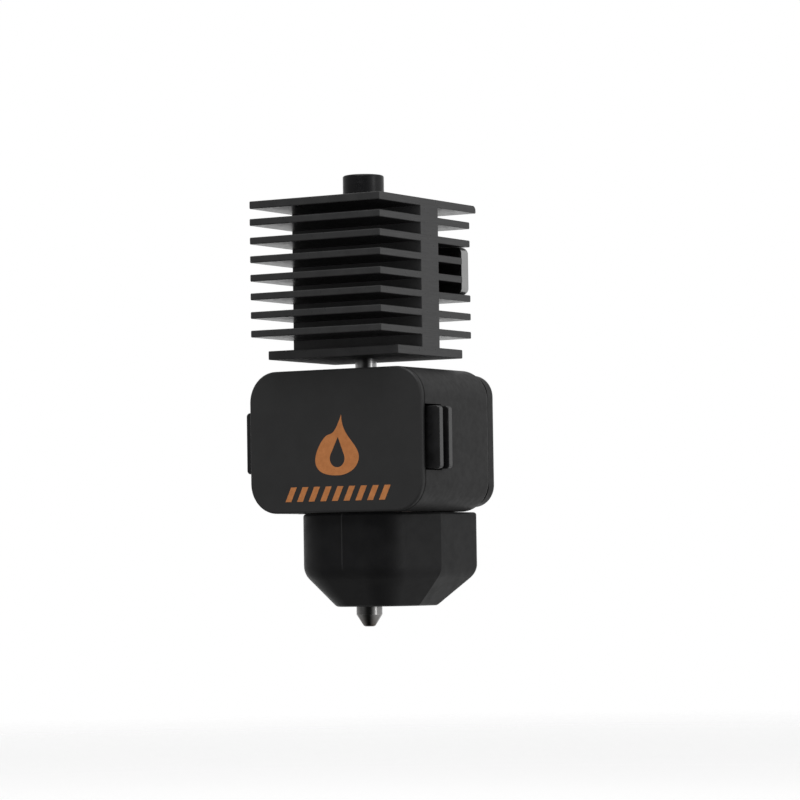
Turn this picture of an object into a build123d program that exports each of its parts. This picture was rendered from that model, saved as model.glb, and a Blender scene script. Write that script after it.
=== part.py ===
from build123d import *

import os
from math import acos, atan2, cos, sin, tan

# A compact hotend for a desktop 3D printer, in millimetres.
# +Z is up, the front faces -Y and the right side faces +X.
# The origin is the centre of the nozzle's tip, on the axis that the filament runs down.

# Directions
UPWARD = (0, 0, 1)
DOWNWARD = (0, 0, -1)
FORWARD = (0, -1, 0)
BACKWARD = (0, 1, 0)
LEFTWARD = (-1, 0, 0)
RIGHTWARD = (1, 0, 0)

# Overall levels, measured up from the nozzle's tip
TOTAL_HEIGHT = 59.4
SINK_TOP = 55.7
SINK_BOTTOM = 35.13
HOUSING_TOP = 33.55
HOUSING_BOTTOM = 14.9
BOOT_BOTTOM = 2.6

# Filament path
FILAMENT_BORE = 0.975
FEED_TUBE_RADIUS = 2.0
FEED_TUBE_CLEARANCE = 0.05
TUBE_RADIUS = 1.43
ORIFICE_RADIUS = 0.2

# Fits between pieces that stay together
SLIP = 0.02
SCREW_GAP = 0.03
SNUG_GAP = 0.05
PAD_GAP = 0.15
SAME_PLACE = 0.02

# Screws: how deep the drive goes, as a share of the head or of a grub screw, and the head's edge
HEAD_DRIVE_SHARE = 0.6
GRUB_DRIVE_SHARE = 0.4
HEAD_EDGE_SHARE = 0.15
HEXAGON = 6

# Heatsink: an upright web with fins on both sides, cut from one long section
SINK_WIDTH = 20.0
SINK_DEPTH = 24.4
WEB_FRONT = -2.1
WEB_BACK = 2.35
PLATE_THICKNESS = 1.0
BOTTOM_PLATE_THICKNESS = 1.15
FIN_THICKNESS = 0.9
FIN_PITCH = 2.435
FIN_COUNT = 7
FIRST_FIN_TOP = 53.39
FIN_BACK = 10.5
BOTTOM_PLATE_DEPTH = 16.3
FIN_EDGE = 0.15
TOP_REAR_EDGE = 0.6
SINK_END_EDGE = 0.06

# Magnet bar in a notch that two of the fins leave at the back
MAGNET_FINS = (2, 3)
MAGNET_FRONT = 8.4
MAGNET_BACK = 10.4
MAGNET_WIDTH = 19.8
MAGNET_CORNER = 0.9
MAGNET_EDGE = 0.35

# Inlet collar
COLLAR_RADIUS = 2.725
COLLAR_SPIGOT = 3.7
COLLAR_EDGE = 0.25
FEED_DEPTH = 3.4
FEED_MOUTH = 0.3

# Grub screws that hold the tube, from the left end of the web
GRUB_RADIUS = 1.0
GRUB_LENGTH = 3.0
GRUB_KEY = 0.9
GRUB_LEVELS = (39.5, 47.0)

# Housing: sleeve, front cover and rear cap
HOUSING_WIDTH = 26.54
HOUSING_CORNER = 4.0
HOUSING_WALL = 1.2
COVER_FRONT = -7.9
COVER_THICKNESS = 0.7
COVER_RIM = 0.3
SLEEVE_BACK = 9.4
SLEEVE_REAR_EDGE = 0.8
SLEEVE_FRONT_EDGE = 0.12
CAP_BACK = 11.5
CAP_SIDE_INSET = 0.3
CAP_LEVEL_INSET = 0.6
CAP_CORNER = 2.9
CAP_REAR_EDGE = 1.0
CAP_PLUG = 1.0
TUBE_HOLE_RADIUS = 1.9

# Side slots of the sleeve and the latch lugs that stand in them
SLOT_BOTTOM = 20.1
SLOT_TOP = 28.6
SLOT_BACK = -2.9
SLOT_EDGE = 0.35
LUG_REACH = 14.9
LUG_BOTTOM = 20.25
LUG_TOP = 28.35
LUG_FRONT = -6.24
LUG_BACK = -3.05
WIRE_GROOVE = 1.35
WIRE_GROOVE_DEPTH = 1.5
RIB_END_RADIUS = 0.5
RIB_EDGE = 0.14

# Corner posts of the front cover and the screws that clamp the housing
POST_X = 9.9
POST_INSET = 3.35
POST_RADIUS = 1.75
POST_BACK = -1.0
POST_FLOOR = 0.7
HOUSING_SCREW_RADIUS = 0.8
HOUSING_SCREW_LENGTH = 14.0
HOUSING_SEAT_DEPTH = 1.0
HOUSING_HEAD_RADIUS = 1.5
HOUSING_HEAD_HEIGHT = 0.9
HOUSING_KEY = 1.3

# Heater block: the lower part fills the boot, the upper part carries the heater
BLOCK_TOP = 30.2
BLOCK_SHOULDER = 19.6
BLOCK_BACK = 7.6
UPPER_BLOCK_BACK = 5.0
BLOCK_FIT = 0.3
NOZZLE_SHANK_RADIUS = 1.85
NOZZLE_SHANK_TOP = 14.4

# Nozzle
NOZZLE_BARREL_RADIUS = 1.715
NOZZLE_CONE_TOP = 1.55
NOZZLE_TIP_RADIUS = 0.72
NOZZLE_FACE_EDGE = 0.12

# Heater, clamp and thermistor
HEATER_HALF_WIDTH = 5.4
HEATER_THICKNESS = 1.3
CLAMP_THICKNESS = 0.8
CLAMP_SCREW_X = 6.9
CLAMP_SCREW_LENGTH = 4.5
M2_RADIUS = 1.0
M2_HEAD_RADIUS = 1.8
M2_HEAD_HEIGHT = 1.0
M2_KEY = 1.5
THERMISTOR_RADIUS = 0.9
THERMISTOR_LENGTH = 6.0
THERMISTOR_X = 5.0
THERMISTOR_LEVEL = 17.2
YOKE_SCREW_X = 5.2
YOKE_SCREW_LENGTH = 4.6
YOKE_SEAT_DEPTH = 1.2
PAD_BOTTOM = 16.5
PAD_HALF_WIDTH = 7.7
REAR_PAD_THICKNESS = 0.5
GROMMET_LEVEL = 24.2
GROMMET_RADIUS = 2.4
GROMMET_LIP = 0.5
GROMMET_NECK = 1.9
LEAD_HOLE_RADIUS = 0.45
LEAD_HOLE_OFFSET = 0.85

# Boot: a soft cup with slanted front corners and a chamfered foot
BOOT_HALF_WIDTH = 10.0
BOOT_FRONT = -6.5
BOOT_BACK = 11.8
BOOT_FRONT_HALF_WIDTH = 6.6
BOOT_SLANT_BACK = 1.9
BOOT_WALL = 1.7
BOOT_KNEE = 7.0
BOOT_KNEE_INSET = 4.0
BOOT_FRONT_CORNER = 5.0
BOOT_CORNER_SHRINK = 0.4
BOOT_BACK_CORNER = 1.0
BOOT_KNEE_ROUNDING = 2.6
BOOT_FOOT_EDGE = 0.8
BOOT_TOP_EDGE = 0.4
BOOT_TOP_GAP = 0.05
BOOT_HOLE_RADIUS = 2.05
PARTING_RIDGE_WIDTH = 0.12
PARTING_RIDGE_HEIGHT = 0.06

# Orange inlays on the front cover
INLAY_DEPTH = 0.2
INLAY_PROUD = 0.03
MARK_SIDE_SHIFT = 0.35
FLAME_BOTTOM = 19.7
FLAME_HALF_WIDTH = 3.3
FLAME_HEIGHT = 7.9
FLAME_TIP = 0.7
FLAME_BELLY_LEVEL = 2.6
FLAME_LEFT_WAIST = (-1.6, 5.2)
FLAME_RIGHT_WAIST = (1.8, 4.9)
FLAME_TIP_LEAN = 0.4
HEART_RADIUS = 1.15
HEART_LEVEL = 2.2
HEART_TIP_RISE = 2.8
HEART_TIP = 0.15
STRIPE_COUNT = 9
STRIPE_PITCH = 1.8
STRIPE_WIDTH = 0.9
STRIPE_BOTTOM = 16.4
STRIPE_HEIGHT = 1.9
STRIPE_LEAN = 0.9

# Sizes that follow from the ones above
COVER_BACK = COVER_FRONT + COVER_THICKNESS
HOUSING_HEIGHT = HOUSING_TOP - HOUSING_BOTTOM
HOUSING_MIDDLE = (HOUSING_TOP + HOUSING_BOTTOM) / 2
POST_LEVELS = (HOUSING_BOTTOM + POST_INSET, HOUSING_TOP - POST_INSET)
BOOT_TOP = HOUSING_BOTTOM - BOOT_TOP_GAP
PAD_TOP = HOUSING_TOP - HOUSING_WALL - PAD_GAP
BLOCK_INSET = BOOT_WALL + BLOCK_FIT
BLOCK_BOTTOM = BOOT_BOTTOM + BLOCK_INSET
BLOCK_FRONT = BOOT_FRONT + BLOCK_INSET
BLOCK_HALF_WIDTH = BOOT_HALF_WIDTH - BLOCK_INSET
BOOT_SLANT = atan2(BOOT_KNEE_INSET, BOOT_KNEE - BOOT_BOTTOM)
HEATER_BACK = UPPER_BLOCK_BACK + HEATER_THICKNESS
CLAMP_BACK = HEATER_BACK + CLAMP_THICKNESS
TUBE_TOP = SINK_TOP - COLLAR_SPIGOT
FEED_FLOOR = TOTAL_HEIGHT - FEED_DEPTH
LUG_MIDDLE = (LUG_TOP + LUG_BOTTOM) / 2
LUG_DEPTH_MIDDLE = (LUG_FRONT + LUG_BACK) / 2
THERMISTOR_GRUB_Y = BLOCK_BACK - THERMISTOR_LENGTH / 2
YOKE_HOLE_DEPTH = YOKE_SCREW_LENGTH + YOKE_SEAT_DEPTH - (LUG_BACK - LUG_FRONT) + PAD_GAP
CLAMP_HOLE_DEPTH = CLAMP_SCREW_LENGTH - HEATER_THICKNESS - CLAMP_THICKNESS + PAD_GAP


def block(x_range, y_range, z_range):
    """A box between two corners, given as a low and a high value on each axis."""
    ranges = (x_range, y_range, z_range)
    centre = [(low + high) / 2 for low, high in ranges]
    size = [high - low for low, high in ranges]
    return Pos(*centre) * Box(*size)


def facing(direction, x, y, z):
    """A sketch plane at a point, whose normal is a direction square to X or along it."""
    along = (0, 1, 0) if direction[0] else (1, 0, 0)
    return Plane(origin=(x, y, z), x_dir=along, z_dir=direction)


def rod(direction, start, radius, length):
    """A round bar that leaves a point in a direction."""
    return extrude(facing(direction, *start) * Circle(radius), length)


def housing_plate(side_inset, level_inset, front, back, corner=None):
    """The housing's rounded outline, moved inward, as a plate between two depths."""
    width = HOUSING_WIDTH - 2 * side_inset
    height = HOUSING_HEIGHT - 2 * level_inset
    outline = RectangleRounded(width, height, corner or HOUSING_CORNER - level_inset)
    return extrude(facing(BACKWARD, 0, front, HOUSING_MIDDLE) * outline, back - front)


def socket_screw(direction, seat, radius, length, head_radius, head_height, key):
    """A socket-head screw that points against a direction, with its head on a seat."""
    shank = rod(direction, seat, radius, -length)
    head = rod(direction, seat, head_radius, head_height)
    top = facing(direction, *seat).offset(head_height)
    socket = RegularPolygon(key / 2, HEXAGON, major_radius=False)
    drive = extrude(top * socket, -head_height * HEAD_DRIVE_SHARE)
    rim = head.faces().sort_by(Axis(seat, direction))[-1].edges()
    return shank + chamfer(rim, head_height * HEAD_EDGE_SHARE) - drive


def small_screw(direction, seat, length):
    """An M2 socket-head screw."""
    return socket_screw(direction, seat, M2_RADIUS, length, M2_HEAD_RADIUS, M2_HEAD_HEIGHT, M2_KEY)


def grub_screw(direction, outer_end, radius, length, key):
    """A headless screw that points against a direction, with its drive at the outer end."""
    bar = rod(direction, outer_end, radius, -length)
    top = facing(direction, *outer_end)
    socket = RegularPolygon(key / 2, HEXAGON, major_radius=False)
    return bar - extrude(top * socket, -length * GRUB_DRIVE_SHARE)


def fin_top(index):
    """The level of the top of a fin, counted down from 0."""
    return FIRST_FIN_TOP - index * FIN_PITCH


def sink_rectangle(front, back, bottom, top):
    """A rectangle of the heatsink's section, in the YZ plane."""
    centre = Pos((front + back) / 2, (bottom + top) / 2)
    return centre * Rectangle(back - front, top - bottom)


def off_web(corner):
    """Whether a corner of the heatsink's section lies clear of the web."""
    return not WEB_FRONT - SAME_PLACE < corner.X < WEB_BACK + SAME_PLACE


def sink_section():
    """The heatsink's section: web, top plate, fins and bottom plate."""
    half_depth = SINK_DEPTH / 2
    half_bottom = BOTTOM_PLATE_DEPTH / 2
    section = sink_rectangle(WEB_FRONT, WEB_BACK, SINK_BOTTOM, SINK_TOP)
    section += sink_rectangle(-half_depth, half_depth, SINK_TOP - PLATE_THICKNESS, SINK_TOP)
    bottom_top = SINK_BOTTOM + BOTTOM_PLATE_THICKNESS
    section += sink_rectangle(-half_bottom, half_bottom, SINK_BOTTOM, bottom_top)
    for index in range(FIN_COUNT):
        back = MAGNET_FRONT if index in MAGNET_FINS else FIN_BACK
        top = fin_top(index)
        section += sink_rectangle(-half_depth, back, top - FIN_THICKNESS, top)
    corners = section.vertices().filter_by(off_web)
    rear_top = corners.sort_by(lambda v: v.X + v.Y)[-1]
    section = fillet([v for v in corners if v != rear_top], FIN_EDGE)
    rear_top = section.vertices().sort_by(lambda v: v.X + v.Y)[-1]
    return fillet(rear_top, TOP_REAR_EDGE)


def heatsink():
    """The finned heatsink, bored for the heat-break tube and its two grub screws."""
    body = extrude(Plane.YZ.offset(-SINK_WIDTH / 2) * sink_section(), SINK_WIDTH)
    ends = body.faces().filter_by(Axis.X)
    body = chamfer(ends.edges(), SINK_END_EDGE)
    body -= rod(UPWARD, (0, 0, SINK_BOTTOM), TUBE_RADIUS + SLIP, SINK_TOP - SINK_BOTTOM)
    for level in GRUB_LEVELS:
        body -= rod(LEFTWARD, (0, 0, level), GRUB_RADIUS + SCREW_GAP, SINK_WIDTH / 2)
    return body


def tube_set_screws():
    """Two grub screws that press on the heat-break tube."""
    outer_end = -TUBE_RADIUS - GRUB_LENGTH - SCREW_GAP
    screws = [
        grub_screw(LEFTWARD, (outer_end, 0, level), GRUB_RADIUS, GRUB_LENGTH, GRUB_KEY)
        for level in GRUB_LEVELS
    ]
    return Compound(children=screws)


def rear_magnet():
    """The magnet bar that sits behind the shortened fins."""
    top = fin_top(min(MAGNET_FINS) - 1) - FIN_THICKNESS - SNUG_GAP
    bottom = fin_top(max(MAGNET_FINS) + 1) + SNUG_GAP
    half_width = MAGNET_WIDTH / 2
    bar = block((-half_width, half_width), (MAGNET_FRONT, MAGNET_BACK), (bottom, top))
    bar = fillet(bar.edges().filter_by(Axis.Y), MAGNET_CORNER)
    rim = bar.faces().sort_by(Axis.Y)[-1].edges()
    return fillet(rim, MAGNET_EDGE)


def inlet_collar():
    """The collar that takes the feed tube, with a spigot into the heatsink's bore."""
    collar = rod(UPWARD, (0, 0, SINK_TOP), COLLAR_RADIUS, TOTAL_HEIGHT - SINK_TOP)
    collar = fillet(collar.faces().sort_by(Axis.Z)[-1].edges(), COLLAR_EDGE)
    collar += rod(DOWNWARD, (0, 0, SINK_TOP), TUBE_RADIUS, COLLAR_SPIGOT)
    feed_radius = FEED_TUBE_RADIUS + FEED_TUBE_CLEARANCE
    collar -= rod(UPWARD, (0, 0, FEED_FLOOR), feed_radius, FEED_DEPTH)
    collar -= rod(UPWARD, (0, 0, TUBE_TOP), FILAMENT_BORE, COLLAR_SPIGOT + FEED_DEPTH)
    mouth = Plane.XY.offset(TOTAL_HEIGHT)
    narrow = mouth.offset(-FEED_MOUTH) * Circle(feed_radius)
    return collar - loft([mouth * Circle(feed_radius + FEED_MOUTH), narrow])


def heat_break_tube():
    """The thin steel tube that joins the cold heatsink to the hot block."""
    length = TUBE_TOP - NOZZLE_SHANK_TOP
    tube = rod(UPWARD, (0, 0, NOZZLE_SHANK_TOP), TUBE_RADIUS, length)
    return tube - rod(UPWARD, (0, 0, NOZZLE_SHANK_TOP), FILAMENT_BORE, length)


def nozzle():
    """The nozzle: a shank pressed into the block, a barrel and a cone with a flat face."""
    shank_bottom = BLOCK_BOTTOM
    shank = rod(UPWARD, (0, 0, shank_bottom), NOZZLE_SHANK_RADIUS, NOZZLE_SHANK_TOP - shank_bottom)
    barrel_length = shank_bottom - NOZZLE_CONE_TOP
    barrel = rod(UPWARD, (0, 0, NOZZLE_CONE_TOP), NOZZLE_BARREL_RADIUS, barrel_length)
    widest = Plane.XY.offset(NOZZLE_CONE_TOP) * Circle(NOZZLE_BARREL_RADIUS)
    cone = loft([Plane.XY * Circle(NOZZLE_TIP_RADIUS), widest])
    body = shank + barrel + cone
    body = chamfer(body.faces().sort_by(Axis.Z)[0].edges(), NOZZLE_FACE_EDGE)
    body -= rod(UPWARD, (0, 0, 0), ORIFICE_RADIUS, NOZZLE_CONE_TOP)
    return body - rod(UPWARD, (0, 0, NOZZLE_CONE_TOP), FILAMENT_BORE, NOZZLE_SHANK_TOP)


def boot_outline(inset, level):
    """The boot's outline seen from above, moved inward, with round front corners, at a level."""
    right_side = [
        (0, BOOT_BACK),
        (BOOT_HALF_WIDTH, BOOT_BACK),
        (BOOT_HALF_WIDTH, BOOT_SLANT_BACK),
        (BOOT_FRONT_HALF_WIDTH, BOOT_FRONT),
        (0, BOOT_FRONT),
    ]
    left_side = [(-x, y) for x, y in reversed(right_side[1:-1])]
    face = make_face(Polyline(*right_side, *left_side, close=True))
    if inset:
        face = offset(face, -inset, kind=Kind.INTERSECTION)
    radius = BOOT_FRONT_CORNER - inset * BOOT_CORNER_SHRINK
    return Pos(0, 0, level) * fillet(face.vertices().group_by(Axis.Y)[0], radius)


def boot_form(inset, top):
    """The boot's outer form, or the same form shrunk evenly, cut off at a level."""
    knee = BOOT_KNEE + inset * tan(BOOT_SLANT / 2)
    bottom = BOOT_BOTTOM + inset
    bottom_inset = inset + (knee - bottom) * tan(BOOT_SLANT)
    knee_outline = boot_outline(inset, knee)
    foot = loft([boot_outline(bottom_inset, bottom), knee_outline], ruled=True)
    return foot + extrude(knee_outline, top - knee)


def edges_at(body, level):
    """The edges of a body that lie flat at a level."""
    flat = body.edges().filter_by(lambda edge: edge.bounding_box().size.Z < SAME_PLACE)
    return flat.filter_by(lambda edge: abs(edge.center().Z - level) < SAME_PLACE)


def silicone_boot():
    """The soft cup that pulls down off the heater block's foot."""
    outside = boot_form(0, BOOT_TOP)
    outside = fillet(edges_at(outside, BOOT_KNEE), BOOT_KNEE_ROUNDING)
    outside = fillet(edges_at(outside, BOOT_BOTTOM), BOOT_FOOT_EDGE)
    upright = outside.edges().filter_by(Axis.Z)
    back_edges = upright.filter_by(lambda edge: edge.center().Y > BOOT_BACK - SAME_PLACE)
    outside = fillet(back_edges, BOOT_BACK_CORNER)
    outside = fillet(outside.faces().sort_by(Axis.Z)[-1].edges(), BOOT_TOP_EDGE)
    half_ridge = PARTING_RIDGE_WIDTH / 2
    ridge = block(
        (-half_ridge, half_ridge),
        (BOOT_FRONT - PARTING_RIDGE_HEIGHT, BOOT_FRONT + PARTING_RIDGE_HEIGHT),
        (BOOT_KNEE + BOOT_KNEE_ROUNDING * tan(BOOT_SLANT / 2), BOOT_TOP - BOOT_TOP_EDGE),
    )
    cavity = boot_form(BOOT_WALL, HOUSING_TOP)
    hole = rod(UPWARD, (0, 0, 0), BOOT_HOLE_RADIUS, BOOT_TOP)
    return outside + ridge - cavity - hole


def heater_block():
    """The hot block: a foot inside the boot, a neck and an upper part for the heater."""
    foot = boot_form(BLOCK_INSET, BOOT_TOP)
    sides = (-BLOCK_HALF_WIDTH, BLOCK_HALF_WIDTH)
    neck = block(sides, (BLOCK_FRONT, BLOCK_BACK), (BOOT_TOP, BLOCK_SHOULDER))
    upper = block(sides, (LUG_BACK, UPPER_BLOCK_BACK), (BLOCK_SHOULDER, BLOCK_TOP))
    body = foot + neck + upper
    body -= rod(UPWARD, (0, 0, 0), NOZZLE_SHANK_RADIUS + SLIP, NOZZLE_SHANK_TOP)
    body -= rod(UPWARD, (0, 0, 0), TUBE_RADIUS + SLIP, BLOCK_TOP)
    hole = M2_RADIUS + SCREW_GAP
    for side in (-1, 1):
        front_hole = (side * YOKE_SCREW_X, LUG_BACK, LUG_MIDDLE)
        back_hole = (side * CLAMP_SCREW_X, UPPER_BLOCK_BACK, LUG_MIDDLE)
        body -= rod(BACKWARD, front_hole, hole, YOKE_HOLE_DEPTH)
        body -= rod(FORWARD, back_hole, hole, CLAMP_HOLE_DEPTH)
    sensor_hole = (THERMISTOR_X, BLOCK_BACK, THERMISTOR_LEVEL)
    body -= rod(FORWARD, sensor_hole, THERMISTOR_RADIUS + SCREW_GAP, THERMISTOR_LENGTH + PAD_GAP)
    grub_hole = (BLOCK_HALF_WIDTH, THERMISTOR_GRUB_Y, THERMISTOR_LEVEL)
    return body - rod(LEFTWARD, grub_hole, hole, BLOCK_HALF_WIDTH - THERMISTOR_X)


def ceramic_heater():
    """The flat ceramic heater behind the upper block."""
    sides = (-HEATER_HALF_WIDTH, HEATER_HALF_WIDTH)
    depth = (UPPER_BLOCK_BACK, HEATER_BACK)
    return block(sides, depth, (BLOCK_SHOULDER + PAD_GAP, BLOCK_TOP - PAD_GAP))


def heater_clamp():
    """The sheet-metal plate that presses the heater against the block."""
    sides = (-BLOCK_HALF_WIDTH, BLOCK_HALF_WIDTH)
    levels = (BLOCK_SHOULDER + PAD_GAP, BLOCK_TOP - PAD_GAP)
    plate = block(sides, (HEATER_BACK, CLAMP_BACK), levels)
    plate = fillet(plate.edges().filter_by(Axis.Y), CLAMP_THICKNESS)
    for side in (-1, 1):
        seat = (side * CLAMP_SCREW_X, CLAMP_BACK, LUG_MIDDLE)
        plate -= rod(FORWARD, seat, M2_RADIUS + SCREW_GAP, CLAMP_THICKNESS)
    return plate


def heater_clamp_screws():
    """The two screws of the heater clamp."""
    seats = [(side * CLAMP_SCREW_X, CLAMP_BACK, LUG_MIDDLE) for side in (-1, 1)]
    return Compound(children=[small_screw(BACKWARD, seat, CLAMP_SCREW_LENGTH) for seat in seats])


def thermistor():
    """The thermistor's capsule, in its hole at the back of the block's neck."""
    mouth = (THERMISTOR_X, BLOCK_BACK, THERMISTOR_LEVEL)
    return rod(FORWARD, mouth, THERMISTOR_RADIUS, THERMISTOR_LENGTH)


def thermistor_screw():
    """The grub screw that holds the thermistor, from the right."""
    outer_end = (BLOCK_HALF_WIDTH, THERMISTOR_GRUB_Y, THERMISTOR_LEVEL)
    length = BLOCK_HALF_WIDTH - THERMISTOR_X - THERMISTOR_RADIUS - SCREW_GAP
    return grub_screw(RIGHTWARD, outer_end, M2_RADIUS, length, GRUB_KEY)


def latch_yoke():
    """The crossbar whose grooved ends stand out of the housing for a wire latch."""
    bar = block((-LUG_REACH, LUG_REACH), (LUG_FRONT, LUG_BACK), (LUG_BOTTOM, LUG_TOP))
    bar = fillet(bar.edges().filter_by(Axis.Y), RIB_END_RADIUS)
    groove_y = (LUG_DEPTH_MIDDLE - WIRE_GROOVE / 2, LUG_DEPTH_MIDDLE + WIRE_GROOVE / 2)
    levels = (LUG_BOTTOM, LUG_TOP)
    bar -= block((-LUG_REACH, -LUG_REACH + WIRE_GROOVE_DEPTH), groove_y, levels)
    bar -= block((LUG_REACH - WIRE_GROOVE_DEPTH, LUG_REACH), groove_y, levels)
    ends = bar.faces().filter_by(Axis.X)
    rib_faces = ends.filter_by(lambda face: abs(face.center().X) > LUG_REACH - SAME_PLACE)
    bar = fillet(rib_faces.edges().filter_by(Axis.Z), RIB_EDGE)
    for side in (-1, 1):
        front = (side * YOKE_SCREW_X, LUG_FRONT, LUG_MIDDLE)
        bar -= rod(BACKWARD, front, M2_RADIUS + SCREW_GAP, LUG_BACK - LUG_FRONT)
        bar -= rod(BACKWARD, front, M2_HEAD_RADIUS + PAD_GAP, YOKE_SEAT_DEPTH)
    return bar


def yoke_screws():
    """The two screws that hold the yoke against the block."""
    seats = [(side * YOKE_SCREW_X, LUG_FRONT + YOKE_SEAT_DEPTH, LUG_MIDDLE) for side in (-1, 1)]
    return Compound(children=[small_screw(FORWARD, seat, YOKE_SCREW_LENGTH - SLIP) for seat in seats])


def front_insulation():
    """The thin heat shield between the front cover and the yoke."""
    depth = (COVER_BACK + PAD_GAP, LUG_FRONT - PAD_GAP)
    return block((-PAD_HALF_WIDTH, PAD_HALF_WIDTH), depth, (PAD_BOTTOM, PAD_TOP))


def top_insulation():
    """The fibre pad above the block, around the tube."""
    levels = (BLOCK_TOP + PAD_GAP, PAD_TOP)
    pad = block((-PAD_HALF_WIDTH, PAD_HALF_WIDTH), (LUG_BACK, UPPER_BLOCK_BACK), levels)
    return pad - rod(UPWARD, (0, 0, BLOCK_TOP), TUBE_RADIUS + PAD_GAP, HOUSING_TOP - BLOCK_TOP)


def rear_insulation():
    """The fibre pad between the heater clamp and the rear cap, cleared for screws and leads."""
    front = BLOCK_BACK + PAD_GAP
    depth = (front, front + REAR_PAD_THICKNESS)
    pad = block((-PAD_HALF_WIDTH, PAD_HALF_WIDTH), depth, (PAD_BOTTOM, PAD_TOP))
    for side in (-1, 1):
        head = (side * CLAMP_SCREW_X, front, LUG_MIDDLE)
        pad -= rod(BACKWARD, head, M2_HEAD_RADIUS + BLOCK_FIT, REAR_PAD_THICKNESS)
    leads = (0, front, GROMMET_LEVEL)
    return pad - rod(BACKWARD, leads, GROMMET_RADIUS + BLOCK_FIT, REAR_PAD_THICKNESS)


def housing_sleeve():
    """The rounded tube around the block, with a slot for a lug in each side."""
    sleeve = housing_plate(0, 0, COVER_BACK, SLEEVE_BACK)
    sleeve = fillet(sleeve.faces().sort_by(Axis.Y)[-1].edges(), SLEEVE_REAR_EDGE)
    sleeve = chamfer(sleeve.faces().sort_by(Axis.Y)[0].edges(), SLEEVE_FRONT_EDGE)
    sleeve -= housing_plate(HOUSING_WALL, HOUSING_WALL, COVER_BACK, SLEEVE_BACK)
    slot = block((-HOUSING_WIDTH, HOUSING_WIDTH), (COVER_FRONT, SLOT_BACK), (SLOT_BOTTOM, SLOT_TOP))
    slot = fillet(slot.edges().filter_by(Axis.X), SLOT_EDGE)
    opening_sides = (-BLOCK_HALF_WIDTH - BLOCK_FIT, BLOCK_HALF_WIDTH + BLOCK_FIT)
    opening_depth = (BLOCK_FRONT - BLOCK_FIT, BLOCK_BACK + BLOCK_FIT)
    opening = block(opening_sides, opening_depth, (HOUSING_BOTTOM, HOUSING_MIDDLE))
    tube_hole = rod(UPWARD, (0, 0, HOUSING_MIDDLE), TUBE_HOLE_RADIUS, HOUSING_HEIGHT)
    return sleeve - slot - opening - tube_hole


def corner_points(depth):
    """The four corners where a screw clamps the housing, at a depth."""
    return [(x, depth, z) for x in (-POST_X, POST_X) for z in POST_LEVELS]


def flame_outline():
    """A plain flame with a drop-shaped heart, in the front view."""
    foot = (0, 0)
    tip = (FLAME_TIP, FLAME_HEIGHT)
    left_belly = (-FLAME_HALF_WIDTH, FLAME_BELLY_LEVEL)
    right_belly = (FLAME_HALF_WIDTH, FLAME_BELLY_LEVEL)
    left = Spline(foot, left_belly, FLAME_LEFT_WAIST, tip, tangents=((-1, 0), (FLAME_TIP_LEAN, 1)))
    right = Spline(tip, FLAME_RIGHT_WAIST, right_belly, foot, tangents=((0, -1), (-1, 0)))
    lean = acos(HEART_RADIUS / HEART_TIP_RISE)
    shoulder = HEART_RADIUS * sin(lean)
    shoulder_level = HEART_LEVEL + HEART_RADIUS * cos(lean)
    heart_tip = (HEART_TIP, HEART_LEVEL + HEART_TIP_RISE)
    heart_top = Polyline((-shoulder, shoulder_level), (shoulder, shoulder_level), heart_tip, close=True)
    heart = Pos(0, HEART_LEVEL) * Circle(HEART_RADIUS) + make_face(heart_top)
    return make_face(Curve() + [left, right]) - heart


def flame_inlay():
    """The orange flame on the front cover."""
    plane = facing(FORWARD, MARK_SIDE_SHIFT, COVER_FRONT - INLAY_PROUD, FLAME_BOTTOM)
    return extrude(plane * flame_outline(), -INLAY_DEPTH - INLAY_PROUD)


def stripe_inlays():
    """The row of slanted orange stripes below the flame."""
    plane = facing(FORWARD, MARK_SIDE_SHIFT, COVER_FRONT - INLAY_PROUD, STRIPE_BOTTOM)
    stripes = []
    for index in range(STRIPE_COUNT):
        left = (index - (STRIPE_COUNT - 1) / 2) * STRIPE_PITCH - (STRIPE_WIDTH + STRIPE_LEAN) / 2
        right = left + STRIPE_WIDTH
        top_left = (left + STRIPE_LEAN, STRIPE_HEIGHT)
        top_right = (right + STRIPE_LEAN, STRIPE_HEIGHT)
        outline = make_face(Polyline((left, 0), (right, 0), top_right, top_left, close=True))
        stripes.append(extrude(plane * outline, -INLAY_DEPTH - INLAY_PROUD))
    return Compound(children=stripes)


def front_cover():
    """The front cover, with a post behind each corner and recesses for the inlays."""
    cover = housing_plate(0, 0, COVER_FRONT, COVER_BACK)
    cover = fillet(cover.faces().sort_by(Axis.Y)[0].edges(), COVER_RIM)
    for corner in corner_points(COVER_BACK):
        cover += rod(BACKWARD, corner, POST_RADIUS, POST_BACK - COVER_BACK)
    hole_length = POST_BACK - COVER_BACK - POST_FLOOR
    for corner in corner_points(POST_BACK):
        cover -= rod(FORWARD, corner, HOUSING_SCREW_RADIUS + SCREW_GAP, hole_length)
    cover -= flame_inlay()
    for stripe in stripe_inlays().solids():
        cover -= stripe
    return cover


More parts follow.
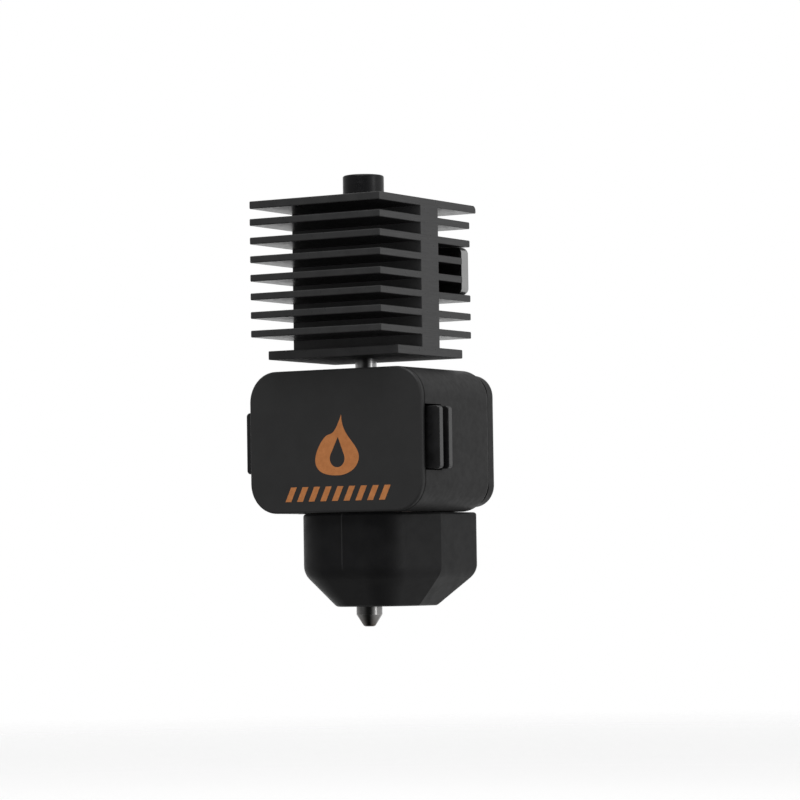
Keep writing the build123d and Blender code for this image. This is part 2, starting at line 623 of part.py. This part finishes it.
def rear_cap():
    """The rear cap, with a plug inside the sleeve, screw seats and a lead inlet."""
    plug_inset = HOUSING_WALL + SNUG_GAP
    plug_front = SLEEVE_BACK - CAP_PLUG
    cap = housing_plate(CAP_SIDE_INSET, CAP_LEVEL_INSET, SLEEVE_BACK, CAP_BACK, CAP_CORNER)
    cap = fillet(cap.faces().sort_by(Axis.Y)[-1].edges(), CAP_REAR_EDGE)
    cap += housing_plate(plug_inset, plug_inset, plug_front, SLEEVE_BACK)
    depth = CAP_BACK - plug_front
    for point in corner_points(CAP_BACK):
        cap -= rod(FORWARD, point, HOUSING_SCREW_RADIUS + SCREW_GAP, depth)
        cap -= rod(FORWARD, point, HOUSING_HEAD_RADIUS + PAD_GAP, HOUSING_SEAT_DEPTH)
    return cap - rod(FORWARD, (0, CAP_BACK, GROMMET_LEVEL), GROMMET_NECK + SNUG_GAP, depth)


def housing_screws():
    """The four screws that clamp cap, sleeve and cover together."""
    screws = [
        socket_screw(
            BACKWARD,
            seat,
            HOUSING_SCREW_RADIUS,
            HOUSING_SCREW_LENGTH,
            HOUSING_HEAD_RADIUS,
            HOUSING_HEAD_HEIGHT,
            HOUSING_KEY,
        )
        for seat in corner_points(CAP_BACK - HOUSING_SEAT_DEPTH)
    ]
    return Compound(children=screws)


def lead_grommet():
    """The soft grommet in the rear cap, with four holes for the heater and thermistor leads."""
    plug_front = SLEEVE_BACK - CAP_PLUG
    inner = (0, plug_front - GROMMET_LIP, GROMMET_LEVEL)
    grommet = rod(BACKWARD, inner, GROMMET_RADIUS, GROMMET_LIP)
    grommet += rod(BACKWARD, inner, GROMMET_NECK, CAP_BACK - plug_front + GROMMET_LIP)
    outer_lip = rod(BACKWARD, (0, CAP_BACK, GROMMET_LEVEL), GROMMET_RADIUS, GROMMET_LIP)
    grommet += fillet(outer_lip.faces().sort_by(Axis.Y)[-1].edges(), GROMMET_LIP / 2)
    for side in (-1, 1):
        for rise in (-1, 1):
            start = (side * LEAD_HOLE_OFFSET, inner[1], GROMMET_LEVEL + rise * LEAD_HOLE_OFFSET)
            grommet -= rod(BACKWARD, start, LEAD_HOLE_RADIUS, SLEEVE_BACK)
    return grommet


SUB_PARTS = [
    heatsink,
    tube_set_screws,
    rear_magnet,
    inlet_collar,
    heat_break_tube,
    nozzle,
    heater_block,
    ceramic_heater,
    heater_clamp,
    heater_clamp_screws,
    thermistor,
    thermistor_screw,
    latch_yoke,
    yoke_screws,
    front_insulation,
    top_insulation,
    rear_insulation,
    housing_sleeve,
    front_cover,
    flame_inlay,
    stripe_inlays,
    rear_cap,
    housing_screws,
    lead_grommet,
    silicone_boot,
]

os.makedirs("parts", exist_ok=True)
for sub_part in SUB_PARTS:
    export_step(sub_part(), f"parts/{sub_part.__name__}.step")
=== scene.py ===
import math

import bpy
from mathutils import Euler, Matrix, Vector

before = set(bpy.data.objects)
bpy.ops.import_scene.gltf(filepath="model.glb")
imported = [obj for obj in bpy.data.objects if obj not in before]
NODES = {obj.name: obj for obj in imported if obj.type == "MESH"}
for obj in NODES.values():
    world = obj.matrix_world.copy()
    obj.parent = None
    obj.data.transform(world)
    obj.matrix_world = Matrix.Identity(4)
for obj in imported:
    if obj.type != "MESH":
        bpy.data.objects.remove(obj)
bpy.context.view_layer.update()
MM = 0.001

# The camera's place in metres and its aim, with its lens and sensor width in millimetres
CAMERA_PLACE = (0.2454, -0.3914, 0.0074)
CAMERA_AZIMUTH = math.radians(31.539)
CAMERA_PITCH = math.radians(2.763)
CAMERA_ROLL = math.radians(-0.85)
CAMERA_LENS = 158.0
CAMERA_SENSOR = 36.0
CAMERA_NEAR = 0.01
CAMERA_FAR = 10.0

# Depth of the seam between the front cover and the housing
COVER_SEAM = -7.2 * MM

# Where the materials change along the object: each change starts at the first value and ends at the second
# The half width of the painted shade along the seam between the front cover and the housing
SEAM_SHADE_HALF_WIDTH = (0.12 * MM, 0.3 * MM)
SINK_UNDERSIDE = (35.15 * MM, 35.25 * MM)
# The half width and levels of the painted highlight along the boot's parting ridge
PARTING_HIGHLIGHT_HALF_WIDTH = (0.06 * MM, 0.12 * MM)
PARTING_HIGHLIGHT_LEVEL = (7.2 * MM, 8.2 * MM)
NOZZLE_STAIN_LEVEL = (0.2 * MM, 1.7 * MM)
# The level above which the nozzle's edges carry a painted highlight
NOZZLE_EDGE_HIGHLIGHT_LEVEL = (1.0 * MM, 1.2 * MM)

# The roughness of every grain, and the range that most of its values lie in
GRAIN_ROUGHNESS = 0.6
GRAIN_RANGE = (0.3, 0.7)

# The floor lies below the reach of the boot when it is pulled off. It fades out from a radius to its rim
FLOOR_LEVEL = -0.03
FLOOR_RADIUS = 0.45
FLOOR_FADE = 0.16
FLOOR_SIDES = 64
FLOOR_GLOW = 0.26

# The room's even light, and its glows, each a direction, the cosine of the angle at its edge and a strength
ROOM_BASE = 0.02
ROOM_GLOWS = (
    ((0.8, 0.58, -0.15), 0.1, 0.75),
    ((-0.75, 0.6, -0.3), 0.1, 0.35),
    ((0.0, 0.3, 0.95), 0.1, 0.3),
    ((-0.95, -0.35, 0.0), 0.1, 0.2),
    ((-0.52, 0.85, -0.1), 0.75, 0.9),
)

# The soft boxes aim at the middle of the object. Each has a name, a place, a size, a power and a flag that
# says whether it leaves a highlight
TARGET = (0.0, 0.0, 0.03)
SOFT_BOXES = (
    ("right_box", (0.6, 0.02, 0.06), (0.16, 0.7), 0.5, True),
    ("top_box", (0.05, -0.25, 0.6), (0.5, 0.5), 3.0, True),
    ("front_fill", (0.15, -0.55, 0.03), (0.3, 0.3), 1.6, False),
)


# ---------------------------------------------------------------- camera, light and floor

def make_camera():
    """A camera to the front right of the object, looking up a little."""
    data = bpy.data.cameras.new("photo_camera")
    data.lens = CAMERA_LENS
    data.sensor_width = CAMERA_SENSOR
    data.clip_start = CAMERA_NEAR
    data.clip_end = CAMERA_FAR
    camera = bpy.data.objects.new("photo_camera", data)
    camera.location = CAMERA_PLACE
    aim = Euler((math.pi / 2 + CAMERA_PITCH, 0, CAMERA_AZIMUTH)).to_matrix()
    roll = Euler((0, 0, CAMERA_ROLL)).to_matrix()
    camera.rotation_euler = (aim @ roll).to_euler()
    bpy.context.scene.collection.objects.link(camera)
    bpy.context.scene.camera = camera


def make_soft_box(name, place, size, power, mirrored):
    """A rectangular light that the camera can't see, aimed at the middle of the object."""
    data = bpy.data.lights.new(name, "AREA")
    data.shape = "RECTANGLE"
    data.size, data.size_y = size
    data.energy = power
    light = bpy.data.objects.new(name, data)
    light.location = place
    light.rotation_euler = (Vector(TARGET) - Vector(place)).to_track_quat("-Z", "Y").to_euler()
    light.visible_camera = False
    light.visible_glossy = mirrored
    bpy.context.scene.collection.objects.link(light)


def make_room():
    """A white room for the camera to see, and a dark one with a few glows to light the object."""
    world = bpy.data.worlds.new("studio")
    bpy.context.scene.world = world
    world.use_nodes = True
    tree = world.node_tree
    seen = tree.nodes["Background"]
    seen.inputs["Color"].default_value = (1, 1, 1, 1)
    lighting = tree.nodes.new("ShaderNodeBackground")
    directions = tree.nodes.new("ShaderNodeTexCoord")
    base = tree.nodes.new("ShaderNodeValue")
    base.outputs["Value"].default_value = ROOM_BASE
    total = base.outputs["Value"]
    for direction, edge, strength in ROOM_GLOWS:
        toward = tree.nodes.new("ShaderNodeVectorMath")
        toward.operation = "DOT_PRODUCT"
        toward.inputs[1].default_value = Vector(direction).normalized()
        tree.links.new(directions.outputs["Generated"], toward.inputs[0])
        glow = tree.nodes.new("ShaderNodeMapRange")
        glow.interpolation_type = "SMOOTHSTEP"
        glow.inputs["From Min"].default_value = edge
        glow.inputs["To Max"].default_value = strength
        tree.links.new(toward.outputs["Value"], glow.inputs["Value"])
        add = tree.nodes.new("ShaderNodeMath")
        tree.links.new(glow.outputs["Result"], add.inputs[0])
        tree.links.new(total, add.inputs[1])
        total = add.outputs["Value"]
    tree.links.new(total, lighting.inputs["Strength"])
    ray = tree.nodes.new("ShaderNodeLightPath")
    mix = tree.nodes.new("ShaderNodeMixShader")
    tree.links.new(ray.outputs["Is Camera Ray"], mix.inputs["Fac"])
    tree.links.new(lighting.outputs["Background"], mix.inputs[1])
    tree.links.new(seen.outputs["Background"], mix.inputs[2])
    tree.links.new(mix.outputs["Shader"], tree.nodes["World Output"].inputs["Surface"])


def make_floor():
    """A round pale floor that fades into the white room at its rim."""
    mesh = bpy.data.meshes.new("studio_floor")
    rim = [2 * math.pi * step / FLOOR_SIDES for step in range(FLOOR_SIDES)]
    corners = [(FLOOR_RADIUS * math.cos(a), FLOOR_RADIUS * math.sin(a), FLOOR_LEVEL) for a in rim]
    mesh.from_pydata(corners, [], [tuple(range(FLOOR_SIDES))])
    floor = bpy.data.objects.new("studio_floor", mesh)
    bpy.context.scene.collection.objects.link(floor)
    floor.visible_diffuse = False
    floor.visible_glossy = False
    finish = Finish("studio_floor", 0.75)
    finish.colour(finish.mixed(finish.grain(2 * MM), (0.93, 0.93, 0.93), (0.96, 0.96, 0.96)))
    distance = finish.node("ShaderNodeVectorMath", operation="LENGTH")
    finish.link(finish.place(), distance.inputs[0])
    fade = finish.fit(distance.outputs["Value"], FLOOR_FADE, FLOOR_RADIUS, 1.0, 0.0)
    finish.link(fade, finish.shader.inputs["Alpha"])
    finish.shader.inputs["Emission Color"].default_value = (1, 1, 1, 1)
    finish.shader.inputs["Emission Strength"].default_value = FLOOR_GLOW
    finish.dress(floor)


# ---------------------------------------------------------------- materials

class Finish:
    """A procedural material, built up on one principled shader."""

    def __init__(self, name, roughness, metallic=0.0, specular=0.5):
        self.material = bpy.data.materials.new(name)
        self.material.use_nodes = True
        self.tree = self.material.node_tree
        self.shader = self.tree.nodes["Principled BSDF"]
        self.shader.inputs["Roughness"].default_value = roughness
        self.shader.inputs["Metallic"].default_value = metallic
        self.shader.inputs["Specular IOR Level"].default_value = specular
        self.coordinates = self.node("ShaderNodeTexCoord")
        self.normal = None

    def node(self, kind, **settings):
        made = self.tree.nodes.new(kind)
        for key, value in settings.items():
            setattr(made, key, value)
        return made

    def link(self, source, target):
        self.tree.links.new(source, target)

    def feed(self, target, value):
        """Set a socket to a constant, or link it to another node's output."""
        if isinstance(value, bpy.types.NodeSocket):
            self.link(value, target)
        elif isinstance(value, tuple) and len(value) == 3 and target.type == "RGBA":
            target.default_value = (*value, 1)
        else:
            target.default_value = value

    def place(self, stretch=(1, 1, 1)):
        """The piece's own coordinates in metres, squeezed along each axis."""
        mapping = self.node("ShaderNodeMapping")
        mapping.inputs["Scale"].default_value = stretch
        self.link(self.coordinates.outputs["Object"], mapping.inputs["Vector"])
        return mapping.outputs["Vector"]

    def grain(self, size, stretch=(1, 1, 1), detail=4.0):
        """Noise whose features are about a size across, longer where it is stretched."""
        texture = self.node("ShaderNodeTexNoise")
        texture.inputs["Scale"].default_value = 1 / size
        texture.inputs["Detail"].default_value = detail
        texture.inputs["Roughness"].default_value = GRAIN_ROUGHNESS
        self.link(self.place(stretch), texture.inputs["Vector"])
        return texture.outputs["Fac"]

    def cells(self, size):
        """Distance to the middle of the nearest of many small cells."""
        texture = self.node("ShaderNodeTexVoronoi")
        texture.inputs["Scale"].default_value = 1 / size
        self.link(self.place(), texture.inputs["Vector"])
        return texture.outputs["Distance"]

    def fit(self, value, low, high, to_low=0.0, to_high=1.0):
        """A value's range, moved to another range and clamped."""
        mapped = self.node("ShaderNodeMapRange")
        self.feed(mapped.inputs["Value"], value)
        mapped.inputs["From Min"].default_value = low
        mapped.inputs["From Max"].default_value = high
        mapped.inputs["To Min"].default_value = to_low
        mapped.inputs["To Max"].default_value = to_high
        return mapped.outputs["Result"]

    def wander(self, size, low=0.0, high=1.0):
        """A value that wanders between two others over patches about a size across."""
        return self.fit(self.grain(size), *GRAIN_RANGE, low, high)

    def maths(self, operation, first, second=0.0):
        made = self.node("ShaderNodeMath", operation=operation)
        self.feed(made.inputs[0], first)
        self.feed(made.inputs[1], second)
        return made.outputs["Value"]

    def mixed(self, factor, first, second):
        """Two colours, mixed by a factor."""
        made = self.node("ShaderNodeMix", data_type="RGBA")
        self.feed(made.inputs["Factor"], factor)
        self.feed(made.inputs["A"], first)
        self.feed(made.inputs["B"], second)
        return made.outputs["Result"]

    def edges(self, radius, low=0.02, high=0.3):
        """1 along sharp edges and 0 on flat faces."""
        rounded = self.node("ShaderNodeBevel", samples=4)
        rounded.inputs["Radius"].default_value = radius
        flat = self.node("ShaderNodeNewGeometry")
        product = self.node("ShaderNodeVectorMath", operation="DOT_PRODUCT")
        self.link(rounded.outputs["Normal"], product.inputs[0])
        self.link(flat.outputs["Normal"], product.inputs[1])
        turned = self.maths("SUBTRACT", 1.0, product.outputs["Value"])
        return self.fit(turned, low, high)

    def facing(self, axis, low=0.8, high=0.98):
        """1 on faces square to an axis of the piece, 0 on the others."""
        split = self.node("ShaderNodeSeparateXYZ")
        self.link(self.coordinates.outputs["Normal"], split.inputs["Vector"])
        return self.fit(self.maths("ABSOLUTE", split.outputs[axis]), low, high)

    def along(self, axis):
        """The distance from the piece's origin along an axis, in metres."""
        split = self.node("ShaderNodeSeparateXYZ")
        self.link(self.coordinates.outputs["Object"], split.inputs["Vector"])
        return split.outputs[axis]

    def level(self, low, high):
        """0 below a level, 1 above another, and between them in between."""
        return self.fit(self.along("Z"), low, high)

    def colour(self, value):
        self.feed(self.shader.inputs["Base Color"], value)

    def roughness(self, value):
        self.feed(self.shader.inputs["Roughness"], value)

    def bump(self, height, depth, strength=1.0):
        """Relief of a depth in metres, on top of any relief added before."""
        made = self.node("ShaderNodeBump")
        made.inputs["Strength"].default_value = strength
        made.inputs["Distance"].default_value = depth
        self.link(height, made.inputs["Height"])
        if self.normal is not None:
            self.link(self.normal, made.inputs["Normal"])
        self.normal = made.outputs["Normal"]
        self.link(self.normal, self.shader.inputs["Normal"])

    def dress(self, piece):
        piece.data.materials.clear()
        piece.data.materials.append(self.material)


def anodised_fins():
    """Bead-blasted black anodising, paler on the sawn ends (partly their finish, partly painted light),
    rubbed along the edges and rougher below.
    """
    finish = Finish("anodised_fins", 0.5, specular=0.35)
    cloud = finish.fit(finish.grain(2.5 * MM, detail=3), 0.35, 0.65)
    black = finish.mixed(cloud, (0.03, 0.03, 0.0305), (0.037, 0.037, 0.0375))
    # The sawn ends, square to X, are paler: partly their own streaked finish and partly painted light that
    # brightens the lit side
    streaks = finish.grain(0.12 * MM, stretch=(1, 0.04, 1))
    sawn_ends_and_painted_light = finish.mixed(finish.fit(streaks, 0.35, 0.7), (0.046, 0.046, 0.0465), (0.066, 0.066, 0.067))
    surface = finish.mixed(finish.facing("X"), black, sawn_ends_and_painted_light)
    patches = finish.fit(finish.grain(0.9 * MM), 0.42, 0.66)
    worn = finish.maths("MULTIPLY", finish.edges(0.09 * MM), patches)
    finish.colour(finish.mixed(worn, surface, (0.075, 0.075, 0.077)))
    smooth = finish.wander(0.7 * MM, 0.26, 0.4)
    underside = finish.fit(finish.along("Z"), *SINK_UNDERSIDE, 0.35, 0.0)
    finish.roughness(finish.maths("ADD", smooth, underside))
    finish.bump(finish.grain(0.07 * MM, detail=2), 0.004 * MM, 0.35)
    finish.bump(streaks, 0.004 * MM, 0.25)
    return finish


def polished_black():
    """Turned and polished black anodising."""
    finish = Finish("polished_black", 0.3, specular=0.3)
    rings = finish.grain(0.08 * MM, stretch=(0.02, 0.02, 1))
    turned = finish.fit(rings, *GRAIN_RANGE)
    finish.colour(finish.mixed(turned, (0.007, 0.007, 0.0075), (0.012, 0.012, 0.013)))
    worn = finish.maths("MULTIPLY", finish.edges(0.12 * MM), finish.grain(0.5 * MM))
    finish.roughness(finish.wander(0.8 * MM, 0.24, 0.36))
    finish.bump(rings, 0.003 * MM, 0.35)
    finish.bump(worn, 0.004 * MM, 0.3)
    return finish


def turned_steel(name, dark, bright, roughness):
    """Drawn or turned steel with fine rings around its axis."""
    finish = Finish(name, roughness, metallic=1.0)
    rings = finish.grain(0.06 * MM, stretch=(0.02, 0.02, 1))
    stain = finish.fit(finish.grain(1.2 * MM), 0.35, 0.7)
    finish.colour(finish.mixed(finish.maths("MULTIPLY", rings, stain), bright, dark))
    finish.roughness(finish.wander(0.3 * MM, roughness * 0.7, roughness * 1.4))
    finish.bump(rings, 0.004 * MM, 0.5)
    return finish


def nozzle_steel():
    """Turned steel, bright on the barrel and stained brown towards the hot tip, with painted highlights
    along its edges above the tip.
    """
    finish = turned_steel("nozzle_steel", (0.2, 0.195, 0.19), (0.38, 0.375, 0.37), roughness=0.18)
    clean = finish.shader.inputs["Base Color"].links[0].from_socket
    heat = finish.maths("SUBTRACT", 1.0, finish.level(*NOZZLE_STAIN_LEVEL))
    stain = finish.maths("MULTIPLY", heat, finish.fit(finish.grain(0.5 * MM), 0.25, 0.7, 0.35, 1.0))
    stained = finish.mixed(stain, clean, (0.12, 0.1, 0.085))
    # Painted highlight: edges above the tip are painted near white, standing in for the bright lines the
    # light leaves on them
    edges = finish.edges(0.14 * MM, 0.01, 0.12)
    rubbed = finish.maths("MULTIPLY", edges, finish.level(*NOZZLE_EDGE_HIGHLIGHT_LEVEL))
    finish.colour(finish.mixed(rubbed, stained, (0.8, 0.79, 0.77)))
    return finish


def brushed_nickel():
    """Satin nickel plate, brushed along the bar, with a few deeper scratches."""
    finish = Finish("brushed_nickel", 0.34, metallic=1.0)
    brush = finish.grain(0.07 * MM, stretch=(0.03, 1, 1))
    scratch = finish.fit(finish.grain(0.25 * MM, stretch=(0.08, 1, 1), detail=2), 0.66, 0.72)
    finish.colour(finish.mixed(finish.fit(brush, *GRAIN_RANGE), (0.42, 0.42, 0.42), (0.54, 0.54, 0.535)))
    finish.roughness(finish.wander(0.6 * MM, 0.26, 0.42))
    finish.bump(brush, 0.004 * MM, 0.4)
    finish.bump(scratch, 0.006 * MM, 0.4)
    return finish


def moulded_black(name, dark, light, size):
    """Fine-textured black plastic with faint clouding, rubbed edges and painted shade along the seam at the
    cover.
    """
    finish = Finish(name, 0.5, specular=0.3)
    cloud = finish.fit(finish.grain(4 * MM, detail=3), 0.35, 0.65)
    surface = finish.mixed(cloud, dark, light)
    patches = finish.fit(finish.grain(1.1 * MM), 0.4, 0.7)
    worn = finish.maths("MULTIPLY", finish.edges(0.12 * MM), patches)
    rubbed = tuple(channel * 3 for channel in light)
    surface = finish.mixed(worn, surface, rubbed)
    # Painted shade: a near-black band along the seam between the front cover and the housing, where shade
    # falls in the gap
    from_seam = finish.maths("ABSOLUTE", finish.maths("SUBTRACT", finish.along("Y"), COVER_SEAM))
    painted_seam_shade = finish.fit(from_seam, *SEAM_SHADE_HALF_WIDTH, 1.0, 0.0)
    finish.colour(finish.mixed(painted_seam_shade, surface, (0.003, 0.003, 0.003)))
    finish.roughness(finish.wander(0.9 * MM, 0.42, 0.58))
    finish.bump(finish.cells(size), 0.004 * MM, 0.3)
    finish.bump(finish.grain(size * 6, detail=2), 0.006 * MM, 0.06)
    return finish


def lug_steel():
    """Black-coated steel, painted paler on its outer faces as a painted highlight, and polished where the
    latch rubs its edges.
    """
    finish = Finish("lug_steel", 0.35, specular=0.6)
    cloud = finish.fit(finish.grain(1.5 * MM), 0.35, 0.65)
    coat = finish.mixed(cloud, (0.007, 0.007, 0.0072), (0.013, 0.013, 0.0135))
    # Painted highlight: the faces square to X are painted paler, in uneven patches, where the side light
    # falls on the lug
    outer_light_patches = finish.fit(finish.grain(0.5 * MM), 0.2, 0.6, 0.7, 1.0)
    painted_outer_light = finish.maths("MULTIPLY", finish.facing("X"), outer_light_patches)
    coat = finish.mixed(painted_outer_light, coat, (0.08, 0.08, 0.08))
    rubbed = finish.maths("MULTIPLY", finish.edges(0.16 * MM, 0.01, 0.2), finish.grain(0.6 * MM))
    finish.colour(finish.mixed(rubbed, coat, (0.16, 0.16, 0.16)))
    finish.roughness(finish.wander(0.5 * MM, 0.26, 0.42))
    finish.bump(finish.grain(0.09 * MM, detail=2), 0.004 * MM, 0.4)
    return finish


def silky_silicone():
    """Soft moulded silicone with a silky sheen, a little dust and a painted highlight along the parting
    line above the knee.
    """
    finish = Finish("silky_silicone", 0.55, specular=0.25)
    finish.shader.inputs["Sheen Weight"].default_value = 0.05
    finish.shader.inputs["Sheen Roughness"].default_value = 0.5
    cloud = finish.fit(finish.grain(3 * MM, detail=3), 0.35, 0.65)
    skin = finish.mixed(cloud, (0.0065, 0.0065, 0.007), (0.0095, 0.0095, 0.010))
    dust = finish.fit(finish.cells(0.9 * MM), 0.05, 0.02)
    specks = finish.maths("MULTIPLY", dust, finish.fit(finish.grain(3 * MM), 0.55, 0.7, 0.0, 0.25))
    dusty = finish.mixed(specks, skin, (0.06, 0.06, 0.06))
    # Painted highlight: a paler line along the parting ridge in the middle of the boot, where the ridge
    # catches the light
    middle = finish.fit(finish.maths("ABSOLUTE", finish.along("X")), *PARTING_HIGHLIGHT_HALF_WIDTH, 1.0, 0.0)
    painted_parting_highlight = finish.maths("MULTIPLY", middle, finish.level(*PARTING_HIGHLIGHT_LEVEL))
    finish.colour(finish.mixed(painted_parting_highlight, dusty, (0.028, 0.028, 0.029)))
    finish.roughness(finish.wander(1.4 * MM, 0.42, 0.54))
    finish.bump(finish.grain(0.12 * MM, detail=3), 0.004 * MM, 0.4)
    finish.bump(finish.grain(2.2 * MM, detail=2), 0.02 * MM, 0.12)
    return finish


def orange_ink():
    """Orange marking, a little uneven and worn thin in places."""
    finish = Finish("orange_ink", 0.55, specular=0.3)
    cloud = finish.wander(0.8 * MM)
    ink = finish.mixed(cloud, (0.44, 0.165, 0.056), (0.53, 0.21, 0.074))
    thin = finish.fit(finish.grain(0.16 * MM), 0.6, 0.75, 0.0, 0.6)
    finish.colour(finish.mixed(thin, ink, (0.24, 0.09, 0.035)))
    finish.roughness(finish.wander(0.3 * MM, 0.48, 0.66))
    finish.bump(finish.grain(0.07 * MM), 0.004 * MM, 0.5)
    return finish


def plated_copper():
    """Milled copper under dark plate, with copper showing at the corners."""
    finish = Finish("plated_copper", 0.45, metallic=1.0)
    cuts = finish.grain(0.1 * MM, stretch=(0.05, 1, 1))
    plate = finish.mixed(finish.fit(cuts, *GRAIN_RANGE), (0.05, 0.045, 0.042), (0.09, 0.08, 0.075))
    worn = finish.maths("MULTIPLY", finish.edges(0.12 * MM), finish.fit(finish.grain(0.7 * MM), 0.5, 0.7))
    finish.colour(finish.mixed(worn, plate, (0.45, 0.21, 0.13)))
    finish.roughness(finish.wander(0.8 * MM, 0.28, 0.5))
    finish.bump(cuts, 0.006 * MM, 0.5)
    return finish


def white_ceramic():
    """Sintered white alumina with fine pores."""
    finish = Finish("white_ceramic", 0.55, specular=0.4)
    finish.colour(finish.mixed(finish.grain(1.0 * MM), (0.74, 0.72, 0.67), (0.86, 0.85, 0.81)))
    finish.roughness(finish.wander(0.4 * MM, 0.45, 0.7))
    finish.bump(finish.cells(0.1 * MM), 0.006 * MM, 0.5)
    return finish


def sheet_steel(name, dark, bright, roughness, metallic=1.0):
    """Stamped or plated steel with rolling marks and rubbed edges."""
    finish = Finish(name, roughness, metallic=metallic)
    marks = finish.grain(0.09 * MM, stretch=(1, 1, 0.05))
    surface = finish.mixed(finish.fit(marks, *GRAIN_RANGE), dark, bright)
    worn = finish.maths("MULTIPLY", finish.edges(0.1 * MM), finish.grain(0.4 * MM))
    rubbed = tuple(min(1.0, channel * 1.5) for channel in bright)
    finish.colour(finish.mixed(worn, surface, rubbed))
    finish.roughness(finish.wander(0.5 * MM, roughness * 0.75, roughness * 1.3))
    finish.bump(marks, 0.004 * MM, 0.4)
    return finish


def ceramic_fibre():
    """Pressed ceramic fibre, off-white and matt."""
    finish = Finish("ceramic_fibre", 0.9, specular=0.15)
    fibres = finish.grain(0.15 * MM, stretch=(0.3, 1, 1), detail=6)
    finish.colour(finish.mixed(finish.fit(fibres, *GRAIN_RANGE), (0.6, 0.57, 0.5), (0.82, 0.8, 0.74)))
    finish.roughness(finish.wander(0.6 * MM, 0.82, 0.97))
    finish.bump(fibres, 0.05 * MM, 0.7)
    return finish


def grommet_rubber():
    """Soft matt black rubber."""
    finish = Finish("grommet_rubber", 0.65, specular=0.3)
    finish.colour(finish.mixed(finish.grain(0.9 * MM), (0.009, 0.009, 0.009), (0.016, 0.016, 0.016)))
    finish.roughness(finish.wander(0.6 * MM, 0.55, 0.78))
    finish.bump(finish.grain(0.08 * MM), 0.008 * MM, 0.5)
    return finish


def dress_nodes():
    """Give every CAD node its material."""
    steel = (0.42, 0.42, 0.43), (0.58, 0.58, 0.59)
    dark_steel = (0.016, 0.016, 0.017), (0.026, 0.026, 0.027)
    cover = moulded_black("cover_black", (0.028, 0.028, 0.0282), (0.031, 0.031, 0.0312), 0.09 * MM)
    housing = moulded_black("housing_black", (0.021, 0.0208, 0.021), (0.024, 0.0237, 0.024), 0.13 * MM)
    zinc = sheet_steel("zinc_steel", *steel, roughness=0.32)
    ink = orange_ink()
    fibre = ceramic_fibre()
    tube = turned_steel("tube_steel", (0.3, 0.3, 0.3), (0.55, 0.55, 0.55), roughness=0.14)
    finishes = {
        "heatsink": anodised_fins(),
        "inlet_collar": polished_black(),
        "heat_break_tube": tube,
        "thermistor": tube,
        "nozzle": nozzle_steel(),
        "rear_magnet": brushed_nickel(),
        "front_cover": cover,
        "housing_sleeve": housing,
        "rear_cap": housing,
        "latch_yoke": lug_steel(),
        "silicone_boot": silky_silicone(),
        "flame_inlay": ink,
        "stripe_inlays": ink,
        "heater_block": plated_copper(),
        "ceramic_heater": white_ceramic(),
        "heater_clamp": sheet_steel("spring_steel", (0.5, 0.5, 0.5), (0.66, 0.66, 0.66), roughness=0.25),
        "housing_screws": sheet_steel("black_steel", *dark_steel, roughness=0.38, metallic=0.0),
        "heater_clamp_screws": zinc,
        "tube_set_screws": zinc,
        "thermistor_screw": zinc,
        "yoke_screws": zinc,
        "front_insulation": fibre,
        "top_insulation": fibre,
        "rear_insulation": fibre,
        "lead_grommet": grommet_rubber(),
    }
    for name, piece in NODES.items():
        finishes[name].dress(piece)


# ---------------------------------------------------------------- the scene

bpy.context.scene.view_settings.view_transform = "Standard"
make_camera()
make_room()
make_floor()
for box in SOFT_BOXES:
    make_soft_box(*box)
dress_nodes()
